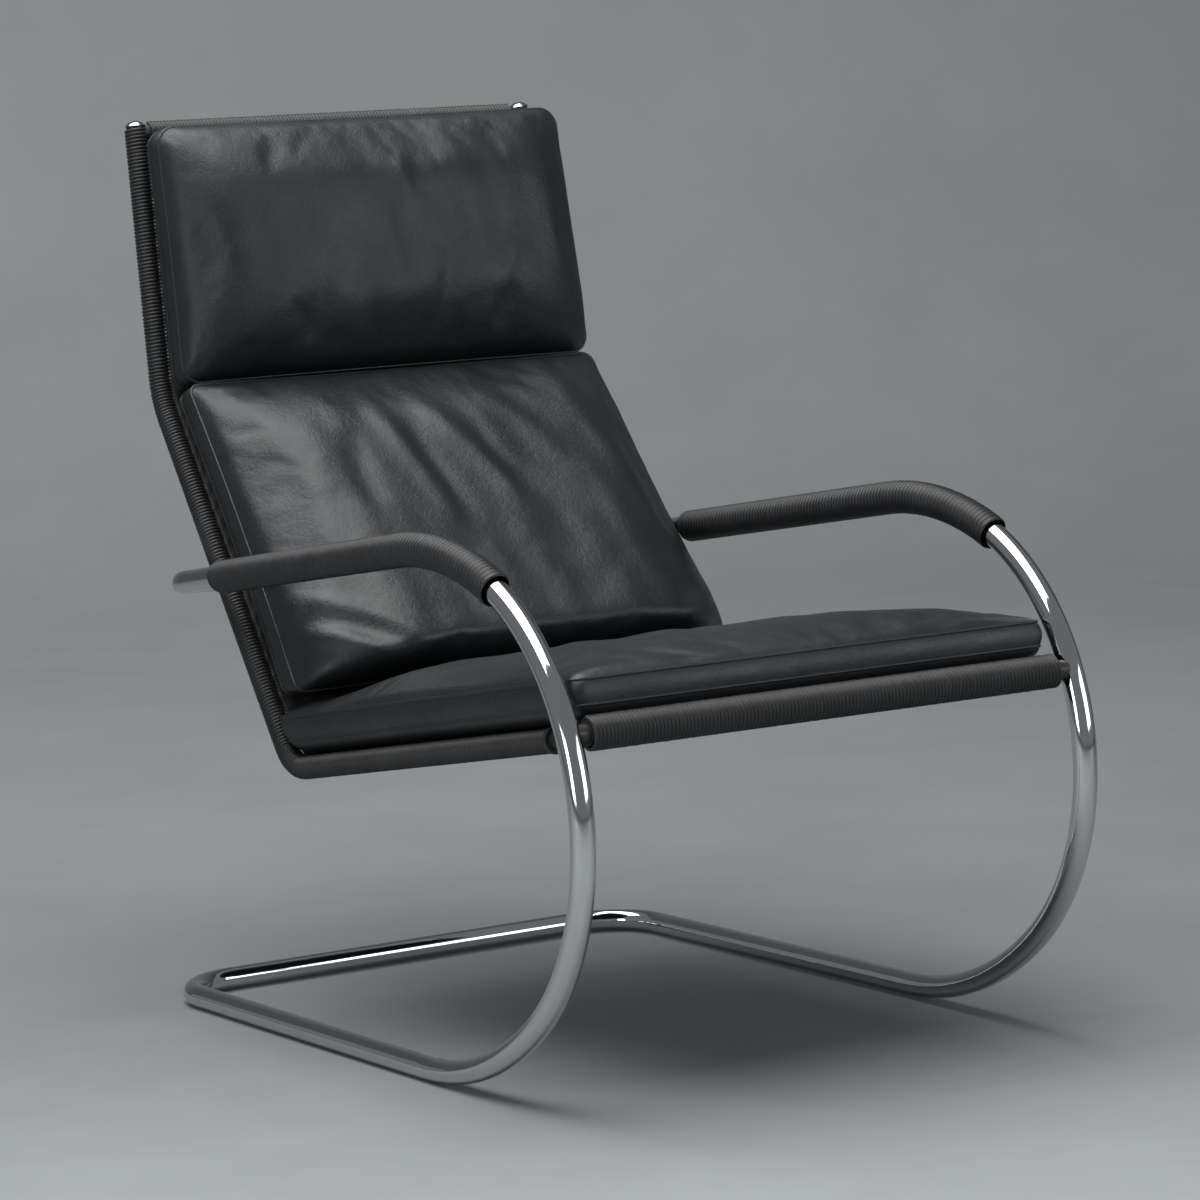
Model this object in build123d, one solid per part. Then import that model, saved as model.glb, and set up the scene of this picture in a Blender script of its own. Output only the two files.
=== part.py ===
from build123d import *
from math import asin, atan2, cos, degrees, radians, sin, sqrt, tan
import os

# Cantilever lounge chair: one closed loop of bright tube that springs at the front, a cord-wound
# seat and back frame hung inside it, and three loose leather cushions.
# Millimetres. +Z is up, the sitter faces -Y, and +X is the side that is on the right of the
# photograph. The origin is on the floor, under the middle of the chair.

# ---- Driving sizes ----

# Bright tube loop
tube_diameter = 25.0
tube_wall = 2.5
frame_track = 598.0             # between the centre lines of the two sides
floor_corner_radius = 72.0
runner_length = 495.0           # straight part of a runner
toe_radius = 363.0
toe_turn = 38.7                 # degrees
front_radius = 248.0
front_turn = 121.5
arm_bend_radius = 338.0
arm_bend_turn = 27.5
arm_length = 469.0              # straight part of an arm
crossbar_corner_radius = 55.0
spigot_length = 120.0
spigot_wall = 2.5
joint_clearance = 0.1           # between pieces that slide or seat on each other

# Wound seat and back frame
rail_diameter = 20.0
rail_wall = 2.0
rail_spread_seat = 536.0        # between the rail centre lines along the seat
rail_spread_top = 496.0         # and at the top of the back
seat_rail_length = 617.0
seat_rail_slope = 8.8           # degrees above level, going forward
back_rail_length = 477.0
head_rail_length = 303.0
head_rail_lean = 8.6            # degrees behind upright
rail_bend_radius = 46.0         # between seat and back
lumbar_bend_radius = 105.0      # between back and head
front_bar_height = 379.0
front_bar_above_rail = 3.3
top_bar_drop = 8.0              # below the open end of the rails
front_spacer_length = 8.0
rear_fixing_inset = 16.1        # from the rear end of the straight arm

# Leather cord windings, as the sleeves that the turns make
arm_winding_thickness = 5.2
rail_winding_thickness = 2.4
front_bar_winding_thickness = 4.4
top_bar_winding_thickness = 3.4
arm_winding_start = 66.0        # from the rear end of the straight arm
arm_winding_overrun = 7.0       # degrees that it runs on into the front bend
rail_winding_end = 80.0         # from the front end of a seat rail
front_bar_winding_margin = 2.0  # left bare at each end of the front bar
collar_length = 5.0
collar_thickness = 1.2

# Fixings
bolt_diameter = 8.0
bolt_head_diameter = 14.0
bolt_head_height = 4.4
rear_spacer_diameter = 16.0
front_spacer_diameter = 20.0
insert_diameter = 11.0
insert_length = 13.0
plug_length = 25.0
stud_grip = 16.0                # length of stud inside a bar plug
cap_dome_height = 6.5
cap_skirt_length = 14.0
cap_lip = 0.6                   # the winding stands this far outside the dome
cap_seat_gap = 0.2              # between a winding and the cap over it

# Woven support between the rails
web_thickness = 4.0
web_edge_gap = 0.3
cushion_clearance = 0.3         # between a cushion and the web that it lies on

# Cushions: heights are measured square to the rail centre line that the cushion lies on
cushion_corner_radius = 24.0
cushion_roll = 30.0             # width of the round under the lower seam
cushion_draw_in = 6.0           # how far each side curves in between its corners
cover_thickness = 2.0
core_clearance = 0.3
cushion_end_gap = 2.0           # between cushions that lean on each other

seat_half_width = 271.0
seat_lower_seam = 30.0
seat_upper_seam = 55.0
seat_crown = 97.0
seat_front_overhang = 9.0       # short of the front bar's centre line
seat_rear_ledge = 50.0          # pressed flat by the back cushion

back_half_width_low = 270.0
back_half_width_high = 263.0
back_lower_seam = 32.0
back_upper_seam = 57.0
back_crown_low = 146.0
back_crown_high = 112.0
back_rest_height = 73.5         # where it stands on the seat cushion

head_half_width_low = 262.0
head_half_width_high = 256.0
head_lower_seam = 26.0
head_upper_seam = 50.0
head_crown = 108.0
head_top_rise = 2.0             # above the open end of the rails

# How far in from the low end, the high end and the sides each crown becomes level
seat_crown_reach = (120.0, 130.0, 110.0)
back_crown_reach = (110.0, 80.0, 110.0)
head_crown_reach = (70.0, 80.0, 100.0)

cushion_margin = 2.0            # by which crossing shapes pass each other
cushion_trim = 0.8              # taken off a cushion's ends by its drawn-in outline

# ---- Lines that the pieces share ----

tube_radius = tube_diameter / 2
rail_radius = rail_diameter / 2
wound_rail_radius = rail_radius + joint_clearance + rail_winding_thickness
wound_top_bar_radius = rail_radius + joint_clearance + top_bar_winding_thickness
wound_front_bar_radius = tube_radius + joint_clearance + front_bar_winding_thickness
cushion_seat_height = wound_rail_radius + cushion_clearance
web_top = cushion_seat_height - cushion_clearance
side_x = frame_track / 2
inward = Vector(-1, 0, 0)
fixing_depth = side_x - tube_radius + insert_length   # how far the bolts and nuts reach out


def heading(angle):
    """Direction in the side plane: 0 is forward, 90 is up, 180 is to the rear."""
    return Vector(0, -cos(radians(angle)), sin(radians(angle)))


def bend_end(start, angle, radius, turn):
    """Where a bend that starts along a heading ends, turning upwards and back."""
    centre = start + heading(angle + 90) * radius
    return centre - heading(angle + turn + 90) * radius


def bend(start, angle, radius, turn):
    """The bend itself, as one arc."""
    middle = bend_end(start, angle, radius, turn / 2)
    return ThreePointArc(start, middle, bend_end(start, angle, radius, turn))


def corner(start, along, across, radius):
    """A quarter turn that leaves start along one direction and ends along another."""
    centre = start + across * radius
    middle = centre + (along - across).normalized() * radius
    return ThreePointArc(start, middle, centre + along * radius)


# The right side of the bright loop, from the floor bar to the rear end of the arm
floor_corner_start = Vector(side_x - floor_corner_radius, 0, tube_radius)
runner_start = Vector(side_x, -floor_corner_radius, tube_radius)
toe_start = runner_start + heading(0) * runner_length
front_start = bend_end(toe_start, 0, toe_radius, toe_turn)
arm_bend_start = bend_end(front_start, toe_turn, front_radius, front_turn)
arm_bend_heading = toe_turn + front_turn
arm_heading = arm_bend_heading + arm_bend_turn
arm_front = bend_end(arm_bend_start, arm_bend_heading, arm_bend_radius, arm_bend_turn)
arm_rear = arm_front + heading(arm_heading) * arm_length

# The front bar lies on the centre line of the front bends, at its own height
front_centre = front_start + heading(toe_turn + 90) * front_radius
front_bar_angle = degrees(asin((front_bar_height - front_centre.Z) / front_radius))
front_bar_point = front_centre + heading(front_bar_angle) * front_radius

# The rails' centre lines, seen from the side: the back leans so far that it meets the arms' ends
seat_direction = heading(seat_rail_slope)
head_direction = heading(90 + head_rail_lean)
rail_front = Vector(0, front_bar_point.Y, front_bar_height - front_bar_above_rail)
rail_low_corner = rail_front - seat_direction * seat_rail_length
arm_rear_flat = Vector(0, arm_rear.Y, arm_rear.Z)
rear_fixing = arm_rear_flat - heading(arm_heading) * rear_fixing_inset
back_rise = rear_fixing - rail_low_corner
back_rail_lean = degrees(atan2(back_rise.Y, back_rise.Z))   # degrees behind upright
back_direction = heading(90 + back_rail_lean)
rail_lumbar = rail_low_corner + back_direction * back_rail_length
rail_top = rail_lumbar + head_direction * head_rail_length
top_bar_point = rail_top - head_direction * top_bar_drop
rail_bend_turn = 90 - back_rail_lean + seat_rail_slope
lumbar_bend_turn = back_rail_lean - head_rail_lean
bend_room = rail_bend_radius * tan(radians(rail_bend_turn / 2))


def rail_x(point):
    """Half the spread of the rails at a point: level along the seat, closing towards the top."""
    rise = max(0.0, point.Z - rail_low_corner.Z) / (rail_top.Z - rail_low_corner.Z)
    return (rail_spread_seat + (rail_spread_top - rail_spread_seat) * rise) / 2


def on_rail(point):
    """The point of the right rail's centre line that is seen at a point of the side view."""
    return Vector(rail_x(point), point.Y, point.Z)


# ---- Basic solids ----

def tube(path, outer, inner):
    """A round tube along a path; an inner diameter of 0 makes it solid."""
    plane = Plane(origin=path @ 0, z_dir=path % 0)
    section = plane * Circle(outer / 2)
    if inner > 0:
        section -= plane * Circle(inner / 2)
    return sweep(section, path=path)


def rod(start, end, diameter, bore=0.0):
    """A straight round bar or tube between two points."""
    return tube(Line(start, end), diameter, bore)


def mirrored(shape):
    """The same piece on the other side of the chair."""
    return mirror(shape, about=Plane.YZ)


def both_sides(shape):
    """A pair of separate pieces, one on each side."""
    return Compound(children=[*shape.solids(), *mirrored(shape).solids()])


def across(point, start_x, end_x, diameter, bore=0.0):
    """A round bar that runs from side to side through a point of the side view."""
    start = Vector(start_x, point.Y, point.Z)
    return rod(start, Vector(end_x, point.Y, point.Z), diameter, bore)


def largest(shape):
    """The main solid of a cut piece."""
    return max(shape.solids(), key=lambda solid: solid.volume)


# ---- Bright tube loop ----

def frame_half_path():
    """Floor bar, runner, three front bends, arm and crossbar of the right side."""
    arm_direction = heading(arm_heading)
    bar_start = Vector(0, 0, tube_radius)
    crossbar_corner = corner(arm_rear, arm_direction, inward, crossbar_corner_radius)
    crossbar_start = crossbar_corner @ 1
    return Wire([
        Line(bar_start, floor_corner_start),
        corner(floor_corner_start, Vector(1, 0, 0), heading(0), floor_corner_radius),
        Line(runner_start, toe_start),
        bend(toe_start, 0, toe_radius, toe_turn),
        bend(front_start, toe_turn, front_radius, front_turn),
        bend(arm_bend_start, arm_bend_heading, arm_bend_radius, arm_bend_turn),
        Line(arm_front, arm_rear),
        crossbar_corner,
        Line(crossbar_start, Vector(0, crossbar_start.Y, crossbar_start.Z)),
    ])


def frame_half():
    """One side of the loop, bored on its inner face for the two thread inserts."""
    half = tube(frame_half_path(), tube_diameter, tube_diameter - 2 * tube_wall)
    hole = insert_diameter + 2 * joint_clearance
    for point in (front_bar_point, rear_fixing):
        half -= across(point, side_x - tube_diameter, side_x, hole)
    return half


def spigot(point):
    """The sleeve inside the tube that joins the two halves at a butt seam."""
    outer = tube_diameter - 2 * tube_wall - 2 * joint_clearance
    half = spigot_length / 2
    return across(point, -half, half, outer, outer - 2 * spigot_wall)


def crossbar_point():
    """A point of the side view that the rear crossbar's centre line passes through."""
    return arm_rear_flat + heading(arm_heading) * crossbar_corner_radius


# ---- Wound seat and back frame ----

def rail_path(top_cut, front_cut):
    """The right rail's centre line, less a length at each end."""
    top = on_rail(rail_top - head_direction * top_cut)
    front = on_rail(rail_front - seat_direction * front_cut)
    corners = (front, on_rail(rail_low_corner), on_rail(rail_lumbar), top)
    return Wire(FilletPolyline(*corners, radius=[rail_bend_radius, lumbar_bend_radius]).edges())


def side_rail():
    """A bent rail, saddle-cut to the front bar and drilled for the rear bolt."""
    rail = tube(rail_path(0, 0), rail_diameter, rail_diameter - 2 * rail_wall)
    rail -= across(front_bar_point, 0, frame_track, tube_diameter + 2 * joint_clearance)
    rail -= across(rear_fixing, 0, frame_track, bolt_diameter + 2 * joint_clearance)
    return largest(rail)


def front_bar():
    """The straight bar between the front bends, at the front edge of the seat."""
    half = front_bar_half_length()
    return across(front_bar_point, -half, half, tube_diameter, tube_diameter - 2 * tube_wall)


def front_bar_half_length():
    """The bar stops a spacer's length short of the tube loop."""
    return side_x - tube_radius - front_spacer_length


def top_bar():
    """The bar between the rails' tops, saddle-cut to them."""
    bar = across(top_bar_point, -side_x, side_x, rail_diameter, rail_diameter - 2 * rail_wall)
    bore = rail_diameter + 2 * joint_clearance
    cutter = tube(rail_path(-rail_diameter, 0), bore, 0)
    return centre_piece(bar - cutter - mirrored(cutter))


def centre_piece(shape):
    """The solid that crosses the middle of the chair."""
    return min(shape.solids(), key=lambda solid: abs(solid.center().X))


def rail_cap():
    """A domed plug in the open top of a rail."""
    top = on_rail(rail_top)
    axis = (top - on_rail(rail_lumbar)).normalized()
    base_radius = wound_rail_radius - cap_lip
    dome_radius = (base_radius ** 2 + cap_dome_height ** 2) / (2 * cap_dome_height)
    ball = Pos(0, 0, cap_dome_height - dome_radius) * Sphere(dome_radius)
    dome = ball & (Pos(0, 0, cap_dome_height / 2) * Cylinder(base_radius, cap_dome_height))
    skirt_radius = rail_radius - rail_wall - joint_clearance
    skirt = Pos(0, 0, -cap_skirt_length / 2) * Cylinder(skirt_radius, cap_skirt_length)
    return Plane(origin=top, z_dir=axis) * (dome + skirt)


# ---- Windings ----

def rail_winding():
    """Turns of thin cord on a rail, open round the top bar and the rear fixing."""
    bore = rail_diameter + 2 * joint_clearance
    winding = tube(rail_path(cap_seat_gap, rail_winding_end), 2 * wound_rail_radius, bore)
    winding -= across(top_bar_point, 0, rail_x(top_bar_point), bore + 2 * joint_clearance)
    winding -= across(rear_fixing, 0, side_x, rear_spacer_diameter + 4 * joint_clearance)
    return largest(winding)


def rail_collar():
    """The ring that closes a rail's winding under the front of the seat."""
    front = on_rail(rail_front - seat_direction * rail_winding_end)
    end = front + seat_direction * collar_length
    outer = 2 * (wound_rail_radius + collar_thickness)
    return rod(front, end, outer, rail_diameter + 2 * joint_clearance)


def top_bar_winding():
    """Turns of cord on the top bar, between the wound rails."""
    half = rail_x(top_bar_point) - wound_rail_radius - joint_clearance
    bore = rail_diameter + 2 * joint_clearance
    return across(top_bar_point, -half, half, 2 * wound_top_bar_radius, bore)


def front_bar_winding():
    """Turns of cord on the front bar, notched where the rails run into it."""
    half = front_bar_half_length() - front_bar_winding_margin
    bore = tube_diameter + 2 * joint_clearance
    winding = across(front_bar_point, -half, half, 2 * wound_front_bar_radius, bore)
    notch = rod(on_rail(rail_front), on_rail(rail_low_corner), rail_diameter + 2 * joint_clearance)
    return centre_piece(winding - notch - mirrored(notch))


def arm_winding():
    """Turns of cord on an arm, from beside the rear fixing to just inside the front bend."""
    rear = arm_rear - heading(arm_heading) * arm_winding_start
    turn = front_turn - arm_winding_overrun
    start = bend_end(front_start, toe_turn, front_radius, turn)
    path = Wire([
        bend(start, toe_turn + turn, front_radius, arm_winding_overrun),
        bend(arm_bend_start, arm_bend_heading, arm_bend_radius, arm_bend_turn),
        Line(arm_front, rear),
    ])
    bore = tube_diameter + 2 * joint_clearance
    return tube(path, bore + 2 * arm_winding_thickness, bore)


# ---- Fixings ----

def tube_loop_space():
    """The room that the bright tube takes up beside the fixings."""
    return tube(frame_half_path(), tube_diameter + joint_clearance, 0)


def rear_spacer():
    """A round spacer between a rail and the arm, hollowed to fit both."""
    start = rail_x(rear_fixing)
    bore = bolt_diameter + 2 * joint_clearance
    spacer = across(rear_fixing, start, side_x, rear_spacer_diameter, bore)
    spacer -= tube_loop_space()
    spacer -= tube(rail_path(0, 0), rail_diameter + joint_clearance, 0)
    return largest(spacer)


def front_spacer():
    """A round spacer between the front bar's end and the front bend."""
    bore = bolt_diameter + 2 * joint_clearance
    spacer = across(front_bar_point, front_bar_half_length(), side_x, front_spacer_diameter, bore)
    return largest(spacer - tube_loop_space())


def thread_insert(point):
    """A flangeless blind nut, sunk flush into the wall of the tube loop."""
    start = side_x - sqrt(tube_radius ** 2 - (insert_diameter / 2) ** 2) + joint_clearance
    bore = bolt_diameter + 2 * joint_clearance
    return across(point, start, fixing_depth, insert_diameter, bore)


def rear_bolt():
    """A button-head bolt, put in from between the rails."""
    head_seat = rail_x(rear_fixing) - rail_radius
    shank = across(rear_fixing, head_seat, fixing_depth, bolt_diameter)
    return shank + across(rear_fixing, head_seat - bolt_head_height, head_seat, bolt_head_diameter)


def bar_plug():
    """The tapped plug in an end of the front bar."""
    end = front_bar_half_length()
    outer = tube_diameter - 2 * tube_wall - 2 * joint_clearance
    plug = across(front_bar_point, end - plug_length, end, outer)
    return plug - across(front_bar_point, end - stud_grip, end, bolt_diameter + 2 * joint_clearance)


def front_stud():
    """The headless stud from a bar plug, through its spacer, into the tube loop."""
    start = front_bar_half_length() - stud_grip + joint_clearance
    return across(front_bar_point, start, fixing_depth, bolt_diameter)


# ---- Woven support ----

def side_line(points, height):
    """A line of the side view, moved square to itself towards the sitter, mitred at its corners."""
    moved = []
    for index, point in enumerate(points):
        before = points[max(index - 1, 0)]
        after = points[min(index + 1, len(points) - 1)]
        arriving = (point - before if index > 0 else after - point).normalized()
        leaving = (after - point if point is not points[-1] else arriving).normalized()
        along = (arriving + leaving).normalized()
        moved.append(point + Vector(0, -along.Z, along.Y) * (height / along.dot(arriving)))
    return moved


def side_edges(points, height):
    """The edges of such a line, with the lumbar bend rounded as the rails are."""
    moved = side_line(points, height)
    if len(moved) == 2:
        return [Line(*moved)]
    return FilletPolyline(*moved, radius=lumbar_bend_radius - height).edges()


def between_rails():
    """All the room between the two rails' centre lines, as seen from the front."""
    seat = rail_spread_seat / 2
    top = rail_spread_top / 2
    low = rail_low_corner.Z
    high = rail_top.Z
    corners = [(-seat, 0), (seat, 0), (seat, low), (top, high), (-top, high), (-seat, low)]
    view = Plane.XZ * make_face(Polyline(*corners, close=True))
    return extrude(view, amount=2 * seat_rail_length, both=True)


def web(points):
    """A thin woven panel just under the cushions, cut to run between the wound rails."""
    upper = side_line(points, web_top)
    lower = side_line(points, web_top - web_thickness)
    ends = [Line(upper[0], lower[0]), Line(upper[-1], lower[-1])]
    faces = [*side_edges(points, web_top), *side_edges(points, web_top - web_thickness)]
    sheet = extrude(make_face(faces + ends), amount=side_x, dir=(1, 0, 0), both=True)
    bore = 2 * (wound_rail_radius + web_edge_gap)
    trim = tube(rail_path(-rail_diameter, -rail_diameter), bore, 0)
    return centre_piece((sheet & between_rails()) - trim - mirrored(trim))


def web_set_back(bar_radius, bar_rise):
    """How far a web stops short of a bar's centre line, so that it just clears its winding."""
    clear = bar_radius + web_edge_gap
    return sqrt(clear ** 2 - (web_top - web_thickness - bar_rise) ** 2)


def seat_web():
    """The support under the seat cushion, from the front bar to the rails' low bend."""
    front_gap = web_set_back(wound_front_bar_radius, front_bar_above_rail)
    front = rail_front - seat_direction * front_gap
    rear = rail_low_corner + seat_direction * bend_room
    collar_start = on_rail(rail_front - seat_direction * (rail_winding_end + web_edge_gap))
    collar_end = collar_start + seat_direction * (collar_length + 2 * web_edge_gap)
    notch = rod(collar_start, collar_end, 2 * (wound_rail_radius + collar_thickness + web_edge_gap))
    return centre_piece(web([front, rear]) - notch - mirrored(notch))


def back_web():
    """The support behind the back and head cushions, round the lumbar bend."""
    return web([
        rail_low_corner + back_direction * bend_room,
        rail_lumbar,
        top_bar_point - head_direction * web_set_back(wound_top_bar_radius, 0),
    ])


# ---- Cushions ----

class Cushion:
    """A boxed cushion: a flat back, a band between two seams and a crowned front.

    Its shape is what a few extruded outlines have in common: its section along the chair, its
    section across, taken once for each side because it tapers, and its rounded outline.
    """

    def __init__(self, origin, normal, ends, half_widths, seams, crowns, reach, ledge=0.0):
        self.origin = origin            # on the rails' centre line
        self.normal = normal            # away from the rails
        self.along = normal.cross(Vector(1, 0, 0))
        self.ends = ends                # low and high end at a height above the rails
        self.half_widths = half_widths  # at the low and the high end
        self.seams = seams              # heights of the two seams
        self.crowns = crowns            # height of the crown towards each end
        self.reach = reach              # how far in the crown starts: low end, high end, sides
        self.ledge = ledge              # an extra set-back of the crown at the high end

    def profile(self, ends, floor, crowns, reaches, setbacks, wall):
        """A closed section: its limits at a height, then its heights, and its crown's insets."""
        lower, upper = self.seams

        def at(side, inset, height):
            return (ends(height)[side] + (inset + wall) * (1 - 2 * side), height)

        foot = [at(side, cushion_roll, floor) for side in (0, 1)]
        top = [at(side, setbacks[side] + reaches[side], crowns[side]) for side in (0, 1)]
        level = Vector(*top[1]) - Vector(*top[0])
        edges = [
            Line(foot[0], foot[1]),
            TangentArc(foot[1], at(1, 0, lower), tangent=(1, 0)),
            Line(at(1, 0, lower), at(1, 0, upper)),
            TangentArc(top[1], at(1, setbacks[1], upper), tangent=level),
            Line(top[1], top[0]),
            TangentArc(top[0], at(0, setbacks[0], upper), tangent=-level),
            Line(at(0, 0, upper), at(0, 0, lower)),
            TangentArc(foot[0], at(0, 0, lower), tangent=(-1, 0)),
        ]
        if setbacks[1] > 0:
            edges.append(Line(at(1, 0, upper), at(1, setbacks[1], upper)))
        return make_face(edges)

    def along_prism(self, wall):
        """The section along the chair, carried right across it."""
        crowns = [crown - wall for crown in self.crowns]
        face = self.profile(self.ends, cushion_seat_height + wall, crowns, self.reach[:2],
                            (0, self.ledge), wall)
        plane = Plane(origin=self.origin, x_dir=self.along, z_dir=self.along.cross(self.normal))
        return extrude(plane * face, amount=side_x, both=True)

    def side_prism(self, wall):
        """The section across the chair, carried along its right edge."""
        low, high = self.ends(0)
        widening = (self.half_widths[1] - self.half_widths[0]) / (high - low)
        edge = Vector(self.half_widths[0] - widening * low, 0, 0)
        way = self.along + Vector(widening, 0, 0)
        crown = max(self.crowns) - wall + cushion_margin
        face = self.profile(lambda height: (-2 * frame_track, 0),
                            cushion_seat_height + wall - cushion_margin, (crown, crown),
                            (self.reach[2], self.reach[2]), (0, 0), wall)
        plane = Plane(origin=self.origin + edge, x_dir=way.cross(self.normal), z_dir=-way)
        return extrude(plane * face, amount=2 * frame_track, both=True)

    def outline_prism(self, side, waist_depth, wall):
        """The rounded outline of one end and of the long sides, carried up the end's slant."""
        turn = 1 - 2 * side
        ends = self.ends(self.seams[1])
        end = (wall + cushion_trim) * turn
        length = (ends[1] - ends[0]) * turn
        far = 2 * frame_track * turn
        half = self.half_widths[side] - wall + cushion_margin
        far_half = self.half_widths[1 - side] - wall + cushion_margin
        waist = (half + far_half) / 2 - waist_depth
        radius = cushion_corner_radius
        slant = radius * (1 - cos(radians(45)))
        tip = (half - radius, end)
        shoulder = (half, end + radius * turn)
        right = [ThreePointArc(tip, (half - slant, end + slant * turn), shoulder),
                 ThreePointArc(shoulder, (waist, length / 2), (far_half, length))]
        rear = Polyline((far_half, length), (frame_track, far), (-frame_track, far),
                        (-far_half, length))
        front = ThreePointArc((radius - half, end), (0, end + cushion_draw_in * turn), tip)
        left = [mirror(arc, about=Plane.YZ) for arc in right]
        slope = self.ends(1)[side] - self.ends(0)[side]
        plane = Plane(origin=self.origin + self.along * self.ends(0)[side], x_dir=(1, 0, 0),
                      z_dir=self.normal + self.along * slope)
        return extrude(plane * make_face([front, *right, rear, *left]), amount=frame_track, both=True)

    def body(self, wall):
        """The closed solid, drawn in all over by a wall thickness."""
        right = self.side_prism(wall)
        shape = self.along_prism(wall) & right & mirrored(right)
        shape &= self.outline_prism(0, cushion_draw_in + cushion_margin, wall)
        return largest(shape & self.outline_prism(1, -cushion_margin, wall))

    def cover(self):
        """The sewn leather cover."""
        return self.body(0) - self.body(cover_thickness)

    def core(self):
        """The foam core inside the cover."""
        return self.body(cover_thickness + core_clearance)


def seat_cushion():
    """Lies on the seat rails; its rear end leans on the back rails and carries the back cushion."""
    lean = 1 / tan(radians(rail_bend_turn))
    rear_gap = (cushion_seat_height + cushion_end_gap) / sin(radians(rail_bend_turn))

    def ends(height):
        front = seat_front_overhang - seat_rail_length
        return front, height * lean - rear_gap

    normal = heading(seat_rail_slope + 90)
    return Cushion(rail_low_corner, normal, ends, (seat_half_width, seat_half_width),
                   (seat_lower_seam, seat_upper_seam), (seat_crown, seat_crown),
                   seat_crown_reach, seat_rear_ledge)


def back_cushion():
    """Stands on the seat cushion and leans on the back rails, up to the lumbar bend."""
    lean = 1 / tan(radians(rail_bend_turn))
    foot = back_rest_height / sin(radians(rail_bend_turn))
    mitre = tan(radians(lumbar_bend_turn / 2))

    def ends(height):
        low = foot - height * lean
        return low, back_rail_length - height * mitre - cushion_end_gap

    normal = heading(back_rail_lean)
    return Cushion(rail_low_corner, normal, ends, (back_half_width_low, back_half_width_high),
                   (back_lower_seam, back_upper_seam), (back_crown_low, back_crown_high),
                   back_crown_reach)


def head_cushion():
    """Stands on the back cushion and leans on the upper rails."""
    mitre = tan(radians(lumbar_bend_turn / 2))

    def ends(height):
        return height * mitre + cushion_end_gap, head_rail_length + head_top_rise

    normal = heading(head_rail_lean)
    return Cushion(rail_lumbar, normal, ends, (head_half_width_low, head_half_width_high),
                   (head_lower_seam, head_upper_seam), (head_crown, head_crown),
                   head_crown_reach)


# ---- Assembly ----

def build_parts():
    """Every piece by name, with the floor bar's centre line at y = 0."""
    right_half = frame_half()
    right_rail = side_rail()
    right_rail_winding = rail_winding()
    right_arm_winding = arm_winding()
    parts = {
        "frame_tube_right": right_half,
        "frame_tube_left": mirrored(right_half),
        "floor_bar_spigot": spigot(Vector(0, 0, tube_radius)),
        "crossbar_spigot": spigot(crossbar_point()),
        "side_rail_right": right_rail,
        "side_rail_left": mirrored(right_rail),
        "top_bar": top_bar(),
        "front_bar": front_bar(),
        "rail_top_caps": both_sides(rail_cap()),
        "rail_winding_right": right_rail_winding,
        "rail_winding_left": mirrored(right_rail_winding),
        "rail_winding_collars": both_sides(rail_collar()),
        "top_bar_winding": top_bar_winding(),
        "front_bar_winding": front_bar_winding(),
        "arm_winding_right": right_arm_winding,
        "arm_winding_left": mirrored(right_arm_winding),
        "rear_spacers": both_sides(rear_spacer()),
        "rear_bolts": both_sides(rear_bolt()),
        "rear_thread_inserts": both_sides(thread_insert(rear_fixing)),
        "front_bar_plugs": both_sides(bar_plug()),
        "front_spacers": both_sides(front_spacer()),
        "front_studs": both_sides(front_stud()),
        "front_thread_inserts": both_sides(thread_insert(front_bar_point)),
        "seat_web": seat_web(),
        "back_web": back_web(),
    }
    cushions = {"seat": seat_cushion(), "back": back_cushion(), "head": head_cushion()}
    for name, cushion in cushions.items():
        parts[f"{name}_cushion_cover"] = cushion.cover()
        parts[f"{name}_cushion_core"] = cushion.core()
    return parts


def centred(parts):
    """Moves the chair so that its footprint is centred on the origin."""
    box = Compound(children=[solid for part in parts.values() for solid in part.solids()])
    limits = box.bounding_box()
    shift = Pos(0, -(limits.min.Y + limits.max.Y) / 2, 0)
    return {name: shift * part for name, part in parts.items()}


def main():
    os.makedirs("parts", exist_ok=True)
    for name, part in centred(build_parts()).items():
        export_step(part, f"parts/{name}.step")


main()
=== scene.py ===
"""Cantilever lounge chair: materials, cord windings, cushions, camera and studio."""
from math import atan2, copysign, cos, exp, pi, radians, degrees, sin, sqrt, tan, tanh

import bpy
from mathutils import Matrix, Vector, noise


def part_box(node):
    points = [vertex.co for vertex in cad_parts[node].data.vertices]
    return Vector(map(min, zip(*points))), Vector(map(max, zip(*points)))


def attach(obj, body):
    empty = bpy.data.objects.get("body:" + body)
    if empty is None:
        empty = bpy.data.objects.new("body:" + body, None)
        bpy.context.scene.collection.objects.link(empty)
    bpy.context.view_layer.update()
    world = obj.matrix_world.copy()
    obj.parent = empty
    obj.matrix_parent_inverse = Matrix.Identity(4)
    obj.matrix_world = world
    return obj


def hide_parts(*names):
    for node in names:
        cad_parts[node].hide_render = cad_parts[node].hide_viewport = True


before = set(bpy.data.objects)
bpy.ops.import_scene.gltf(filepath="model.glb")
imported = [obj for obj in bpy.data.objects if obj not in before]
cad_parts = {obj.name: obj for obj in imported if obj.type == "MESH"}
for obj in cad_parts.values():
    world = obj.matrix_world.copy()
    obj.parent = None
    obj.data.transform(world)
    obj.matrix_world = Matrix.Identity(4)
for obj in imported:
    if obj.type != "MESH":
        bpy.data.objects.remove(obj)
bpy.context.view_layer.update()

# ---- Sizes, in metres, as in the part's source ----

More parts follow.
